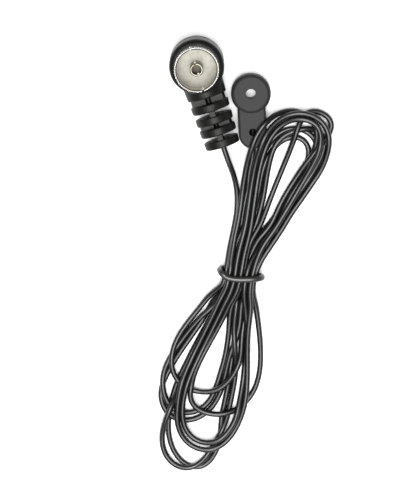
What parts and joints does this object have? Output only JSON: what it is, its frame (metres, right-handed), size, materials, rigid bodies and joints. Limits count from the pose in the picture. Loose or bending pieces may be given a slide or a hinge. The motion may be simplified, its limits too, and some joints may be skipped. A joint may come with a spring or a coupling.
{
  "type": "fm wire antenna",
  "caption": "Thin black wire aerial wound into a tied hank, with an angled coaxial socket and flex relief at one end and a moulded hanging eyelet at the other.",
  "frame": {"origin": "middle of the socket body's flat back, which lies on the table", "axes": "+Z along the socket's axis, out of its mouth; -Y along the flex relief, towards the wire; +X to the side where the eyelet lies"},
  "size_m": [0.0636, 0.1044, 0.0213],
  "materials": {
    "nickel_plate": "satin nickel plate on brass",
    "cream_insulator": "matte moulded plastic",
    "copper": "bare stranded copper",
    "solder": "dull solder",
    "wire_insulation": "satin extruded vinyl",
    "black_moulding": "satin moulded vinyl",
    "tie_coating": "semi-gloss coating on wire",
    "black_eyelet": "satin moulded vinyl"
  },
  "bodies": {
    "root": {"outer_contact_shell": "nickel_plate", "contact_insulator": "cream_insulator", "centre_contact": "nickel_plate", "wire_core": "copper", "solder_joint": "solder", "relief_wire": "wire_insulation", "elbow_moulding": "black_moulding", "connector_lead": "wire_insulation", "cord_hank": "wire_insulation", "twist_tie": "tie_coating", "eyelet_lead": "wire_insulation", "hanging_eyelet": "black_eyelet"}
  },
  "joints": []
}
